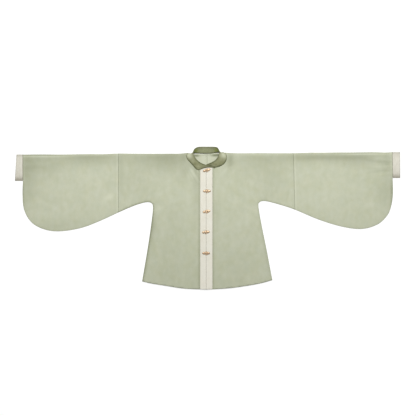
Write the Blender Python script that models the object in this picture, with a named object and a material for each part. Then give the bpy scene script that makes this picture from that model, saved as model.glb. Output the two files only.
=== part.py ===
"""Stand-collar jacket with wide rounded sleeves, laid flat and face up. Blender 4.5, metres, +Z up."""

import math
from collections import namedtuple

import bmesh
import bpy
import numpy as np
from mathutils import Vector, geometry

MM = 0.001

# All sizes below are millimetres. x = 0 is the centre front, y = 0 the shoulder fold, z = 0 the
# surface under the jacket. The wearer's left is +X.
CLOTH_WALL = 1.5
COLLAR_WALL = 2.0
SEAM_GAP = 0.3

# The front layer rises from its folded edges to a soft height over the back layer.
EDGE_HEIGHT = 3.8
EDGE_INSET = 1.7
PUFF = 1.4
PUFF_REACH = 18.0
SEAM_GROOVE = 0.6
SEAM_GROOVE_WIDTH = 5.0
SEAM_RIDGE = 0.5
SEAM_RIDGE_OFFSET = 11.0

# Spacing of the points along the outlines and inside the panels.
OUTLINE_STEP = 15.0
CURVE_STEP = 16.0
GENTLE_STEP = 30.0
BACK_STEP = 60.0
CUFF_STEP = 12.0
GRID_STEP = 26.0
CUFF_GRID_STEP = 14.7
FIRST_ROW = 9.0
ROW_SHARE = 0.85
EXTRA_ROWS = 2
GRID_CLEARANCE = 0.3
OPEN_EDGE_TURN = 0.5

PLACKET_WIDTH = 29.4
PLACKET_COLUMNS = 4
FRONT_FOOT_Y = -60.0

COLLAR_STEP = 7.0
COLLAR_ROWS = 5
COLLAR_FULL_HEIGHT = 30.0

# A clasp is two leaf-shaped wings: the right one ends in a button, the left one in a ring round it.
CLASP_SPAN = 38.0
CLASP_HEIGHT = 16.0
CLASP_PLATE = 2.2
CLASP_EDGE = 0.7
CLASP_CROWN = 0.7
CLASP_CLEARANCE = 0.3
KNOB_RADIUS = 5.2
WING_STEPS = 8
WING_ROOT = 3.0
WING_START = 0.22
WING_END = 0.95
WING_FULLNESS = 0.8
BUTTON_POINTS = 17
BUTTON_TURN = 153
BUTTON_NECK = 2.3
NECK_LENGTH = 0.6
SHOULDER_LENGTH = 1.4
RING_POINTS = 13
RING_TURN = 128
RING_END_POINTS = 6

Spot = namedtuple("Spot", "x y")
Fold = namedtuple("Fold", "x y length width angle height")
CollarStation = namedtuple("CollarStation", "foot_x foot_y foot_z top_x top_y top_z bow")
Clasp = namedtuple("Clasp", "x y tilt")
Side = namedtuple(
    "Side",
    "name sign fold_line under_seam seam_row seam_top_x seam_foot_x "
    "cuff_seam_x cuff_mouth_x cuff_mouth_foot_x cuff_top_y cuff_foot_y hem front_neck back_neck",
)

# Each side's outline, with x counted outwards from the centre front.
LEFT = Side(
    name="left",
    sign=1,
    fold_line=[
        Spot(90, 1.6), Spot(130, 0.4), Spot(250, 0.0), Spot(420, -0.2),
        Spot(560, 2.0), Spot(700, 3.2), Spot(800, 4.6), Spot(893, 4.0),
    ],
    under_seam=[
        Spot(896, -120.5), Spot(897, -201), Spot(879.5, -283), Spot(823, -344), Spot(745, -366),
        Spot(650, -354.5), Spot(540, -320), Spot(425, -272), Spot(340, -244.5), Spot(281, -231),
        Spot(256, -237), Spot(251, -258), Spot(265, -342), Spot(291, -470), Spot(317.5, -610.5),
    ],
    seam_row=7,
    seam_top_x=418,
    seam_foot_x=425,
    cuff_seam_x=893,
    cuff_mouth_x=931,
    cuff_top_y=4.0,
    cuff_mouth_foot_x=931,
    cuff_foot_y=-120.5,
    hem=[Spot(317.5, -610.5), Spot(217, -634), Spot(110, -648.8), Spot(0, -654.3)],
    front_neck=[
        Spot(0, -59.5), Spot(24, -61), Spot(44, -66), Spot(58, -62.5), Spot(72.5, -57),
        Spot(85.5, -46), Spot(92, -31), Spot(94, -18), Spot(93, -8), Spot(90, 1.6),
    ],
    back_neck=[
        Spot(0, -5.8), Spot(20, -3.3), Spot(38, -1.3), Spot(54, -1.4), Spot(70, -2.3),
        Spot(80, -1.0), Spot(90, 1.6),
    ],
)
RIGHT = Side(
    name="right",
    sign=-1,
    fold_line=[
        Spot(90, 0.6), Spot(130, -1.2), Spot(250, -2.6), Spot(420, -1.8),
        Spot(560, -4.8), Spot(700, -7.6), Spot(800, -8.2), Spot(880, -8.0),
    ],
    under_seam=[
        Spot(880, -134.5), Spot(882, -201), Spot(874, -274), Spot(838.5, -335), Spot(775, -368),
        Spot(700, -376), Spot(600, -360.5), Spot(510, -326.5), Spot(421, -285.5), Spot(345, -253),
        Spot(290, -237), Spot(264, -240.5), Spot(255.5, -260), Spot(262, -330),
        Spot(281, -460), Spot(307.5, -616.5),
    ],
    seam_row=8,
    seam_top_x=421,
    seam_foot_x=421,
    cuff_seam_x=880,
    cuff_mouth_x=912,
    cuff_mouth_foot_x=918,
    cuff_top_y=-8.0,
    cuff_foot_y=-134.5,
    hem=[Spot(307.5, -616.5), Spot(215, -633.5), Spot(110, -650), Spot(0, -654.3)],
    front_neck=[
        Spot(0, -60), Spot(16, -64.5), Spot(30, -71), Spot(41, -73), Spot(50, -67.5),
        Spot(61, -57), Spot(73.5, -44), Spot(83.5, -31), Spot(89.5, -18), Spot(91, -8),
        Spot(90, 0.6),
    ],
    back_neck=[
        Spot(0, -5.8), Spot(20, -5.8), Spot(38, -4.5), Spot(54, -4.3), Spot(70, -5.6),
        Spot(80, -5.0), Spot(90, 0.6),
    ],
)

# Soft folds of the front layer: long low ridges, or troughs where the height is negative.
FOLDS = [
    Fold(x=660, y=-12, length=210, width=7, angle=1, height=0.6),
    Fold(x=640, y=-29, length=230, width=11, angle=1, height=-0.8),
    Fold(x=-640, y=-12, length=190, width=7, angle=2, height=0.6),
    Fold(x=-620, y=-29, length=210, width=11, angle=3, height=-0.8),
    Fold(x=240, y=-34, length=110, width=16, angle=-12, height=-0.6),
    Fold(x=-230, y=-34, length=110, width=16, angle=6, height=-0.6),
    Fold(x=330, y=-150, length=90, width=18, angle=58, height=0.6),
    Fold(x=-335, y=-160, length=95, width=18, angle=-60, height=0.5),
    Fold(x=275, y=-262, length=120, width=17, angle=14, height=-0.7),
    Fold(x=-170, y=-262, length=110, width=18, angle=-3, height=-0.8),
    Fold(x=170, y=-352, length=90, width=22, angle=20, height=0.6),
    Fold(x=-160, y=-350, length=80, width=20, angle=4, height=0.5),
    Fold(x=150, y=-520, length=110, width=26, angle=-68, height=0.6),
    Fold(x=-205, y=-505, length=110, width=24, angle=82, height=-0.6),
    Fold(x=720, y=-190, length=130, width=34, angle=8, height=0.6),
    Fold(x=-690, y=-200, length=130, width=36, angle=-14, height=0.6),
    Fold(x=560, y=-240, length=110, width=22, angle=-32, height=0.5),
    Fold(x=-560, y=-230, length=110, width=24, angle=36, height=0.5),
    Fold(x=835, y=-46, length=60, width=9, angle=-4, height=-0.7),
    Fold(x=838, y=-86, length=62, width=9, angle=6, height=-0.7),
    Fold(x=836, y=-66, length=50, width=8, angle=2, height=0.6),
    Fold(x=-835, y=-66, length=60, width=12, angle=4, height=-0.6),
    Fold(x=-76, y=-98, length=36, width=7, angle=-62, height=0.6),
]

# The collar from its under end round the left side, the back and the right side to its over end.
# The foot is the neck seam, the top is the free edge, and bow is how far the band bulges outwards
# between them.
COLLAR = [
    CollarStation(-8, -64, 7.4, -8, -60.5, 9.5, 1.2),
    CollarStation(6, -63, 7.4, 3, -55, 13.5, 1.2),
    CollarStation(24, -64.5, 7.4, 14, -51, 17, 1.2),
    CollarStation(44, -70, 7.4, 26, -45.5, 19, 1.2),
    CollarStation(60, -66.5, 7.4, 38, -39, 19, 1.2),
    CollarStation(76, -60, 7.4, 47, -31.5, 18, 1.2),
    CollarStation(90, -48.5, 7.4, 53.5, -23.5, 17.5, 1.2),
    CollarStation(97.5, -33, 7.4, 57.5, -15.5, 18, 1.2),
    CollarStation(99, -19, 7.2, 60.5, -7.5, 19.5, 0.5),
    CollarStation(96.5, -8.5, 6.8, 62, -1, 22, -1),
    CollarStation(90.5, 0.2, 5.8, 62.5, 4.5, 25, -2.2),
    CollarStation(81, 1.6, 2.8, 62.2, 10, 28, -2.8),
    CollarStation(69, 0.4, 0.4, 59.5, 16.5, 30, -2.5),
    CollarStation(54, 0.4, 0, 52, 25.2, 30, 0),
    CollarStation(38, 0.4, 0, 37, 29.2, 28.5, 1.2),
    CollarStation(20, -1.6, 0, 18, 30.4, 27, 1.2),
    CollarStation(0, -4.2, 0, 0, 30.6, 26, 1.2),
    CollarStation(-20, -4.2, 0, -18, 30.4, 27, 1.2),
    CollarStation(-38, -2.8, 0, -36, 28.6, 28.5, 1.2),
    CollarStation(-54, -2.6, 0, -49.5, 23.8, 30, 0.5),
    CollarStation(-69, -3.2, 0.4, -58.5, 16, 30, -2),
    CollarStation(-81, -2.6, 2.8, -61.5, 8.5, 28, -3),
    CollarStation(-90, -3, 5.8, -61.5, 2, 25, -2.5),
    CollarStation(-95.5, -11, 6.8, -60.5, -5, 22, -0.5),
    CollarStation(-95.5, -19.5, 7.2, -58, -12, 19.5, 0.8),
    CollarStation(-89, -33, 7.4, -53.5, -21, 18, 1.2),
    CollarStation(-78.5, -45.5, 7.4, -47.5, -30, 17.5, 1.2),
    CollarStation(-66, -58, 7.4, -39, -38.5, 18, 1.2),
    CollarStation(-56, -71, 7.4, -29, -46, 18.5, 1.2),
    CollarStation(-45, -79.5, 7.4, -18.5, -51.5, 18.5, 1.2),
    CollarStation(-31, -80, 7.4, -8.5, -55.5, 18, 1.2),
    CollarStation(-17, -75.5, 7.6, 2.5, -58.5, 16.5, 1.2),
    CollarStation(-2, -71.5, 8, 12, -61.5, 14.5, 1.2),
    CollarStation(14, -69.5, 8.2, 22, -64.5, 11.8, 1.2),
    CollarStation(30, -70.5, 7.8, 33, -67, 10, 1.2),
    CollarStation(43, -74, 7.6, 44, -71.5, 9, 1.2),
]

CLASPS = [
    Clasp(x=3.9, y=-82.4, tilt=16),
    Clasp(x=3.8, y=-182.4, tilt=3),
    Clasp(x=1.3, y=-281.2, tilt=12),
    Clasp(x=-0.6, y=-379.6, tilt=6),
    Clasp(x=0.1, y=-480.4, tilt=0),
]


def clear_scene():
    for obj in list(bpy.data.objects):
        bpy.data.objects.remove(obj, do_unlink=True)


def make_material(name, color, roughness, metallic=0.0):
    material = bpy.data.materials.new(name)
    material.use_nodes = True
    shader = material.node_tree.nodes["Principled BSDF"]
    shader.inputs["Base Color"].default_value = (*color, 1.0)
    shader.inputs["Roughness"].default_value = roughness
    shader.inputs["Metallic"].default_value = metallic
    return material


def smooth_spans(rows, step):
    """A Catmull-Rom curve through the rows, as one list of points for each span between them."""
    points = [np.array(row, float) for row in rows]
    padded = [2 * points[0] - points[1], *points, 2 * points[-1] - points[-2]]
    spans = []
    for before, start, end, after in zip(padded, padded[1:], padded[2:], padded[3:]):
        count = max(1, round(np.linalg.norm(end - start) / step))
        span = []
        for i in range(count + 1):
            t = i / count
            span.append(
                0.5
                * (
                    2 * start
                    + (end - before) * t
                    + (2 * before - 5 * start + 4 * end - after) * t * t
                    + (3 * start - before - 3 * end + after) * t**3
                )
            )
        spans.append(span)
    return spans


def joined(spans):
    line = list(spans[0])
    for span in spans[1:]:
        line += span[1:]
    return [np.array(point) for point in line]


def smooth_line(rows, step):
    return joined(smooth_spans(rows, step))


def straight_line(start, end, step):
    start = np.array(start, float)
    end = np.array(end, float)
    count = max(1, round(np.linalg.norm(end - start) / step))
    return [start + (end - start) * i / count for i in range(count + 1)]


def distance_to_line(points, line):
    """The distance from each of the points to a line of straight stretches."""
    points = np.asarray(points, float)
    line = np.asarray(line, float)
    nearest = np.full(len(points), np.inf)
    for start, end in zip(line, line[1:]):
        along = end - start
        share = np.clip((points - start) @ along / (along @ along), 0, 1)
        nearest = np.minimum(nearest, np.linalg.norm(points - start - share[:, None] * along, axis=1))
    return nearest


def signed_area(loop):
    x, y = np.asarray(loop, float).T
    return 0.5 * float(np.sum(x * np.roll(y, -1) - np.roll(x, -1) * y))


def folds_height(points):
    """The sum of the soft folds at each point."""
    points = np.asarray(points, float)
    total = np.zeros(len(points))
    for fold in FOLDS:
        angle = math.radians(fold.angle)
        offset = points - (fold.x, fold.y)
        along = offset @ (math.cos(angle), math.sin(angle))
        across = offset @ (-math.sin(angle), math.cos(angle))
        total += fold.height * np.exp(-((along / fold.length) ** 2) - (across / fold.width) ** 2)
    return total


class Outline:
    """The edges of one half of the jacket, in signed coordinates."""

    def __init__(self, side):
        self.side = side
        self.fold = self.signed(smooth_line(side.fold_line, GENTLE_STEP))
        spans = smooth_spans(side.under_seam, CURVE_STEP)
        self.sleeve_under = self.signed(joined(spans[: side.seam_row]))
        self.body_under = self.signed(joined(spans[side.seam_row :]))
        self.hem = self.signed(smooth_line(side.hem, GENTLE_STEP))
        self.front_neck = self.signed(smooth_line(side.front_neck, OUTLINE_STEP))
        self.back_neck = self.signed(smooth_line(side.back_neck, OUTLINE_STEP))
        self.seam = [self.point(side.seam_top_x, self.fold_y(side.seam_top_x)), self.body_under[0]]
        self.closed = [self.fold, self.sleeve_under, self.body_under]

    def signed(self, line):
        return [np.array((self.side.sign * point[0], point[1])) for point in line]

    def point(self, x, y):
        return np.array((self.side.sign * x, y), float)

    def fold_y(self, x):
        line = np.array(self.fold)
        return float(np.interp(x, abs(line[:, 0]), line[:, 1]))

    def height(self, points):
        """The height of the front layer's upper face."""
        points = np.asarray(points, float)
        edge = np.min([distance_to_line(points, line) for line in self.closed], axis=0)
        rise = 1 - np.exp(-np.maximum(edge - EDGE_INSET, 0) / PUFF_REACH)
        seam = distance_to_line(points, self.seam)
        beyond = abs(points[:, 0]) > (self.side.seam_top_x + self.side.seam_foot_x) / 2
        ridge = SEAM_RIDGE * np.exp(-(((seam - SEAM_RIDGE_OFFSET) / SEAM_GROOVE_WIDTH) ** 2)) * beyond
        groove = SEAM_GROOVE * np.exp(-((seam / SEAM_GROOVE_WIDTH) ** 2))
        beside_placket = np.clip((abs(points[:, 0]) - PLACKET_WIDTH) / PLACKET_WIDTH, 0, 1)
        relief = folds_height(points) * beside_placket + ridge - groove
        return EDGE_HEIGHT + rise * (PUFF + relief)


def inward_directions(line):
    """Unit normals to the left of a line, which is the cloth's side of it."""
    along = np.gradient(np.asarray(line, float), axis=0)
    normals = np.stack([-along[:, 1], along[:, 0]], axis=1)
    return normals / np.linalg.norm(normals, axis=1)[:, None]


def ring_of(line, before, after):
    """The line moved inwards by the edge inset. Its ends follow the open edges beside it."""
    directions = inward_directions(line)
    for index, neighbour in ((0, before), (-1, after)):
        along_edge = neighbour - line[index]
        along_edge = along_edge / np.linalg.norm(along_edge)
        if along_edge @ directions[index] > OPEN_EDGE_TURN:
            directions[index] = along_edge
    return [point + EDGE_INSET * way for point, way in zip(line, directions)]


def fill_points(loop, step):
    """Points of an even grid inside a loop, kept clear of its edge."""
    corners = np.asarray(loop, float)
    low = corners.min(axis=0)
    high = corners.max(axis=0)
    columns = np.arange(low[0] + step / 2, high[0], step)
    rows = list(np.arange(high[1] - FIRST_ROW, low[1], -step * ROW_SHARE))
    rows += [y - step * ROW_SHARE / 2 for y in rows[:EXTRA_ROWS]]
    grid = np.array([(x, y) for y in rows for x in columns])
    inside = np.zeros(len(grid), bool)
    for (x0, y0), (x1, y1) in zip(corners, np.roll(corners, -1, axis=0)):
        crosses = (y0 > grid[:, 1]) != (y1 > grid[:, 1])
        if y0 != y1:
            inside ^= crosses & (grid[:, 0] < x0 + (grid[:, 1] - y0) * (x1 - x0) / (y1 - y0))
    closed_loop = np.vstack([corners, corners[:1]])
    return grid[inside & (distance_to_line(grid, closed_loop) > step * GRID_CLEARANCE)]


def triangulate(loop, inner):
    """Triangles over a loop and the points inside it, counter-clockwise seen from above."""
    points = [Vector((float(x), float(y))) for x, y in [*loop, *inner]]
    edges = [(i, (i + 1) % len(loop)) for i in range(len(loop))]
    result = geometry.delaunay_2d_cdt(points, edges, [], 1, 1e-5)
    coordinates, faces, sources = result[0], result[2], result[3]
    triangles = []
    for face in faces:
        corners = [sources[i][0] for i in face]
        if signed_area([coordinates[i] for i in face]) < 0:
            corners.reverse()
        triangles.append(corners)
    return triangles


def sheet_object(name, vertices, faces, wall, material):
    """An object of one open sheet in millimetres, given its wall by a Solidify modifier."""
    mesh = bpy.data.meshes.new(name)
    mesh.from_pydata([tuple(float(c) * MM for c in vertex) for vertex in vertices], [], faces)
    mesh.validate()
    mesh.shade_smooth()
    mesh.materials.append(material)
    obj = bpy.data.objects.new(name, mesh)
    bpy.context.collection.objects.link(obj)
    solidify = obj.modifiers.new("Cloth wall", "SOLIDIFY")
    solidify.thickness = wall * MM
    solidify.offset = -1.0
    solidify.use_rim = True
    return obj


def make_folded_panel(name, edges, height, material, step=GRID_STEP):
    """A front and a back layer joined along their closed edges.

    edges runs counter-clockwise and alternates a closed line with an open one. An open edge has
    a front and a back line, which may differ, as at the neck.
    """
    vertices = []
    faces = []
    front_loop = []
    back_loop = []

    def add(point, z):
        vertices.append((point[0], point[1], z))
        return len(vertices) - 1

    count = len(edges)
    for i in range(0, count, 2):
        line = edges[i]
        before = edges[i - 1]
        after = edges[i + 1]
        front_ring = ring_of(line, before[0][-2], after[0][1])
        back_ring = ring_of(line, before[1][-2], after[1][1])
        front = [add(p, z) for p, z in zip(front_ring, height(front_ring))]
        middle = [add(p, EDGE_HEIGHT / 2) for p in line]
        back = [add(p, 0.0) for p in back_ring]
        for k in range(len(line) - 1):
            faces.append((middle[k], middle[k + 1], front[k + 1], front[k]))
            faces.append((back[k], back[k + 1], middle[k + 1], middle[k]))
        front_loop += front
        back_loop += back
        front_loop += [add(p, z) for p, z in zip(after[0][1:-1], height(after[0][1:-1]))]
        back_loop += [add(p, 0.0) for p in after[1][1:-1]]

    corners = [vertices[i][:2] for i in front_loop]
    inner = fill_points(corners, step)
    inner_index = [add(p, z) for p, z in zip(inner, height(inner))]
    numbers = front_loop + inner_index
    for triangle in triangulate(corners, inner):
        faces.append(tuple(numbers[i] for i in triangle))
    faces.append(tuple(reversed(back_loop)))
    return sheet_object(name, vertices, faces, CLOTH_WALL, material)


def counter_clockwise(edges, side):
    """The edges as listed, which is clockwise on the left half, so they are turned round there."""
    if side.sign < 0:
        return edges
    turned = []
    for edge in [edges[0], *reversed(edges[1:])]:
        if isinstance(edge, tuple):
            turned.append(tuple(list(reversed(line)) for line in edge))
        else:
            turned.append(list(reversed(edge)))
    return turned


def same_both(line):
    return (line, line)


def shifted(line, x):
    return [point + (x, 0.0) for point in line]


def make_body(outline, material):
    """Front and back of one half, cut in one at the shoulder, out to the sleeve seam."""
    side = outline.side
    inward = -side.sign * SEAM_GAP / 2
    fold = [p for p in outline.fold if abs(p[0]) < side.seam_top_x - OUTLINE_STEP]
    fold.append(outline.seam[0] + (inward, 0))
    seam = shifted(straight_line(outline.seam[0], outline.seam[1], OUTLINE_STEP), inward)
    under = [outline.body_under[0] + (inward, 0), *outline.body_under[1:]]
    clearance = (side.sign * SEAM_GAP / 2, 0)
    hem = [*outline.hem[:-1], outline.hem[-1] + clearance]
    front_neck = [outline.front_neck[0] + clearance, *outline.front_neck[1:]]
    back_neck = [outline.back_neck[0] + clearance, *outline.back_neck[1:]]
    centre_front = straight_line(hem[-1], front_neck[0], GENTLE_STEP)
    centre_back = straight_line(hem[-1], back_neck[0], BACK_STEP)
    open_front = hem + centre_front[1:] + front_neck[1:]
    open_back = hem + centre_back[1:] + back_neck[1:]
    edges = [fold, same_both(seam), under, (open_front, open_back)]
    make_folded_panel(
        f"body_{side.name}", counter_clockwise(edges, side), outline.height, material
    )


def make_sleeve(outline, material):
    """The sleeve extension: folded along the top, closed round its curved lower edge."""
    side = outline.side
    outward = side.sign * SEAM_GAP / 2
    start = outline.seam[0] + (outward, 0)
    fold = [p for p in outline.fold if abs(p[0]) > side.seam_top_x + OUTLINE_STEP]
    fold = [start, *fold[:-1], outline.point(side.cuff_seam_x, side.cuff_top_y) - (outward, 0)]
    cuff_foot = outline.sleeve_under[0]
    cuff_seam = straight_line(fold[-1], cuff_foot - (outward, 0), CUFF_STEP)
    under = [cuff_seam[-1], *outline.sleeve_under[1:-1], outline.seam[1] + (outward, 0)]
    seam = straight_line(under[-1], start, OUTLINE_STEP)
    edges = [fold, same_both(cuff_seam), under, same_both(seam)]
    make_folded_panel(
        f"sleeve_{side.name}", counter_clockwise(edges, side), outline.height, material
    )


def make_cuff(outline, material):
    """The narrow band round the sleeve's mouth, open at both ends."""
    side = outline.side
    outward = side.sign * SEAM_GAP / 2
    seam_top = outline.point(side.cuff_seam_x, side.cuff_top_y) + (outward, 0)
    seam_foot = outline.sleeve_under[0] + (outward, 0)
    mouth_top = outline.point(side.cuff_mouth_x, side.cuff_top_y)
    mouth_foot = outline.point(side.cuff_mouth_foot_x, side.cuff_foot_y)
    top = straight_line(seam_top, mouth_top, OUTLINE_STEP)
    foot = straight_line(mouth_foot, seam_foot, OUTLINE_STEP)
    mouth = straight_line(mouth_top, mouth_foot, OUTLINE_STEP)
    seam = straight_line(seam_foot, seam_top, OUTLINE_STEP)

    def height(points):
        edge = np.minimum(distance_to_line(points, top), distance_to_line(points, foot))
        rise = 1 - np.exp(-np.maximum(edge - EDGE_INSET, 0) / PUFF_REACH)
        return EDGE_HEIGHT + rise * PUFF

    edges = [top, same_both(mouth), foot, same_both(seam)]
    make_folded_panel(
        f"cuff_{side.name}",
        counter_clockwise(edges, side),
        height,
        material,
        step=CUFF_GRID_STEP,
    )


def placket_top(x):
    """The placket's upper edge, just below the collar's foot."""
    foot = [(s.foot_x, s.foot_y) for s in COLLAR if s.foot_y < FRONT_FOOT_Y]
    below = []
    for (x0, y0), (x1, y1) in zip(foot, foot[1:]):
        if min(x0, x1) <= x <= max(x0, x1) and x0 != x1:
            below.append(y0 + (y1 - y0) * (x - x0) / (x1 - x0))
    return min(below) - 2 * SEAM_GAP


def make_placket(outline, material):
    """The strip that lies on one front from the neck to the hem, made from the panel's points."""
    side = outline.side
    hem = np.array(outline.hem)
    across = np.linspace(SEAM_GAP / 2, PLACKET_WIDTH, PLACKET_COLUMNS)
    top = [np.array((side.sign * x, placket_top(side.sign * x))) for x in across]
    foot_y = np.interp(across, abs(hem[::-1, 0]), hem[::-1, 1])
    foot = [np.array((side.sign * x, y)) for x, y in zip(across, foot_y)]
    rows = round(math.dist(top[0], foot[0]) / GENTLE_STEP) + 1
    columns = [straight_line(t, f, math.dist(t, f) / (rows - 1)) for t, f in zip(top, foot)]
    points = [point for column in columns for point in column]
    lift = SEAM_GAP + CLOTH_WALL
    vertices = [(p[0], p[1], z + lift) for p, z in zip(points, outline.height(points))]
    faces = []
    for c in range(len(columns) - 1):
        for r in range(rows - 1):
            a = c * rows + r
            quad = (a, a + 1, a + rows + 1, a + rows)
            faces.append(quad if side.sign > 0 else tuple(reversed(quad)))
    sheet_object(f"placket_{side.name}", vertices, faces, CLOTH_WALL, material)


def make_collar(material):
    """One band round the neck, its over end crossing the under end at the centre front."""
    stations = [np.array(station, float) for station in COLLAR]
    line = smooth_line(stations, COLLAR_STEP)
    feet = np.array([row[:3] for row in line])
    tops = np.array([row[3:6] for row in line])
    bows = np.array([row[6:] for row in line])
    feet[:, 2] = np.maximum(feet[:, 2], 0.0)
    along = np.gradient(feet, axis=0)
    outward = np.cross(along, tops - feet)
    outward /= np.linalg.norm(outward, axis=1)[:, None]
    vertices = []
    for row in range(COLLAR_ROWS):
        share = row / (COLLAR_ROWS - 1)
        taper = np.minimum(np.linalg.norm(tops - feet, axis=1) / COLLAR_FULL_HEIGHT, 1.0)[:, None]
        bow = bows * math.sin(math.pi * share) * taper * outward
        vertices += list(feet + (tops - feet) * share + bow)
    count = len(feet)
    faces = []
    for row in range(COLLAR_ROWS - 1):
        for k in range(count - 1):
            a = row * count + k
            faces.append((a, a + 1, a + count + 1, a + count))
    return sheet_object("collar", vertices, faces, COLLAR_WALL, material)


def wing_outline(direction):
    """The upper edge of a leaf-shaped wing, from the clasp's middle out to a blunt point."""
    upper = []
    for i in range(WING_STEPS + 1):
        share = i / WING_STEPS
        x = WING_ROOT + (CLASP_SPAN / 2 - WING_ROOT) * share
        phase = WING_START + (WING_END - WING_START) * share
        y = CLASP_HEIGHT / 2 * math.sin(math.pi * phase) ** WING_FULLNESS
        upper.append((direction * x, y))
    return upper


def arc(radius, start, end, count):
    angles = [math.radians(start + (end - start) * i / (count - 1)) for i in range(count)]
    return [(radius * math.cos(a), radius * math.sin(a)) for a in angles]


def mirrored(points):
    return [(x, -y) for x, y in reversed(points)]


def button_half():
    """The wing whose inner end is the round button."""
    shoulder = -KNOB_RADIUS - SHOULDER_LENGTH
    wing = [p for p in wing_outline(-1) if p[0] < shoulder - NECK_LENGTH]
    upper = [(-KNOB_RADIUS - NECK_LENGTH, BUTTON_NECK), (shoulder, KNOB_RADIUS), *wing]
    return arc(KNOB_RADIUS, -BUTTON_TURN, BUTTON_TURN, BUTTON_POINTS) + upper + mirrored(upper)


def loop_half():
    """The wing whose inner end is an open ring round the button."""
    ring_radius = CLASP_HEIGHT / 2 + CLASP_CLEARANCE
    inside = arc(KNOB_RADIUS + CLASP_CLEARANCE, -RING_TURN, RING_TURN, RING_POINTS)
    outside = arc(ring_radius, RING_TURN, 180 - RING_TURN, RING_END_POINTS)
    upper = outside + [p for p in wing_outline(1) if p[0] > CLASP_HEIGHT / 2]
    return upper + mirrored(upper) + inside


def make_clasp_half(name, outline, clasp, base, material):
    bm = bmesh.new()
    tilt = math.radians(clasp.tilt)
    corners = []
    for x, y in outline:
        across = clasp.x + x * math.cos(tilt) - y * math.sin(tilt)
        down = clasp.y + x * math.sin(tilt) + y * math.cos(tilt)
        corners.append(bm.verts.new((across * MM, down * MM, base * MM)))
    floor = bm.faces.new(corners)
    if signed_area([corner.co.xy for corner in corners]) > 0:
        floor.normal_flip()
    raised = bmesh.ops.extrude_face_region(bm, geom=[floor])["geom"]
    roof = next(g for g in raised if isinstance(g, bmesh.types.BMFace))
    for corner in [g for g in raised if isinstance(g, bmesh.types.BMVert)]:
        corner.co.z += (CLASP_PLATE - CLASP_CROWN) * MM
    bmesh.ops.recalc_face_normals(bm, faces=bm.faces)
    bmesh.ops.inset_region(
        bm, faces=[roof], thickness=CLASP_EDGE * MM, depth=CLASP_CROWN * MM, use_even_offset=True
    )
    mesh = bpy.data.meshes.new(name)
    bm.to_mesh(mesh)
    bm.free()
    mesh.materials.append(material)
    obj = bpy.data.objects.new(name, mesh)
    bpy.context.collection.objects.link(obj)


def make_clasps(outlines, material):
    for number, clasp in enumerate(CLASPS, start=1):
        reach_x = CLASP_SPAN / 3
        reach_y = CLASP_HEIGHT / 2
        around = [
            (clasp.x + x, clasp.y + y) for x in (-reach_x, reach_x) for y in (-reach_y, 0, reach_y)
        ]
        panel_top = max(float(outline.height(around).max()) for outline in outlines)
        base = panel_top + CLOTH_WALL + 2 * SEAM_GAP
        make_clasp_half(f"clasp_{number}_right", button_half(), clasp, base, material)
        make_clasp_half(f"clasp_{number}_left", loop_half(), clasp, base, material)


def stand_on_origin():
    """Parents every piece to an empty that brings the underside's middle to the origin."""
    bpy.context.view_layer.update()
    pieces = [obj for obj in bpy.data.objects if obj.type == "MESH"]
    graph = bpy.context.evaluated_depsgraph_get()
    corners = np.array(
        [corner for obj in pieces for corner in obj.evaluated_get(graph).bound_box]
    )
    low = corners.min(axis=0)
    high = corners.max(axis=0)
    frame = bpy.data.objects.new("jacket_frame", None)
    bpy.context.collection.objects.link(frame)
    for obj in pieces:
        obj.parent = frame
    frame.location = (-(low[0] + high[0]) / 2, -(low[1] + high[1]) / 2, -low[2])


def main():
    clear_scene()
    green = make_material("sage_cloth", (0.50, 0.53, 0.40), 0.55)
    cream = make_material("cream_trim", (0.75, 0.73, 0.63), 0.5)
    olive = make_material("olive_collar", (0.25, 0.26, 0.15), 0.55)
    copper = make_material("copper", (0.72, 0.45, 0.28), 0.3, 1.0)
    outlines = [Outline(LEFT), Outline(RIGHT)]
    for outline in outlines:
        make_body(outline, green)
        make_sleeve(outline, green)
        make_cuff(outline, cream)
        make_placket(outline, cream)
    make_collar(olive)
    make_clasps(outlines, copper)
    stand_on_origin()


main()
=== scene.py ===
import math

import bmesh
import bpy
import numpy as np
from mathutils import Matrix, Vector, geometry, noise


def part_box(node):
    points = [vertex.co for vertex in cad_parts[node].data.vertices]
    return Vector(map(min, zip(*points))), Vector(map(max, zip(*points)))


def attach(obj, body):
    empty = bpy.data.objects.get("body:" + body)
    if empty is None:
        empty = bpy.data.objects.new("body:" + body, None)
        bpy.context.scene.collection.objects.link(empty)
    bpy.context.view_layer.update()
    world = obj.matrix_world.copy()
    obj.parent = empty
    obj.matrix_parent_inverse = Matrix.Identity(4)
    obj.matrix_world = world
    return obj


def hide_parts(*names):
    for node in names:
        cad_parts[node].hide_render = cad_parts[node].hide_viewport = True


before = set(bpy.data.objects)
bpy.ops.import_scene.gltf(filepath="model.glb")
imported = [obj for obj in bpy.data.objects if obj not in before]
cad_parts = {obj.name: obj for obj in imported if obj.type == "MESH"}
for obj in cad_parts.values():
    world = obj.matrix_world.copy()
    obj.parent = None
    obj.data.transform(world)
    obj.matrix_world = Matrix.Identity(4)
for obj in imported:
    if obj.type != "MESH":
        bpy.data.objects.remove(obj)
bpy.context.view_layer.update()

# A stand-collar jacket laid flat and face up. Sizes are millimetres in the jacket's own drawing:
# x = 0 at the centre front, y = 0 at the shoulder fold, z = 0 on the floor.
mm = 0.001
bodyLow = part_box("body_left")[0]
drawing = {"hemY": -654.3, "seamGap": 0.3}
shift = Vector((bodyLow[0] - drawing["seamGap"] / 2 * mm, bodyLow[1] - drawing["hemY"] * mm, 0.0))


def toFrame(x, y, z):
    return (x * mm + shift.x, y * mm + shift.y, z * mm)


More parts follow.
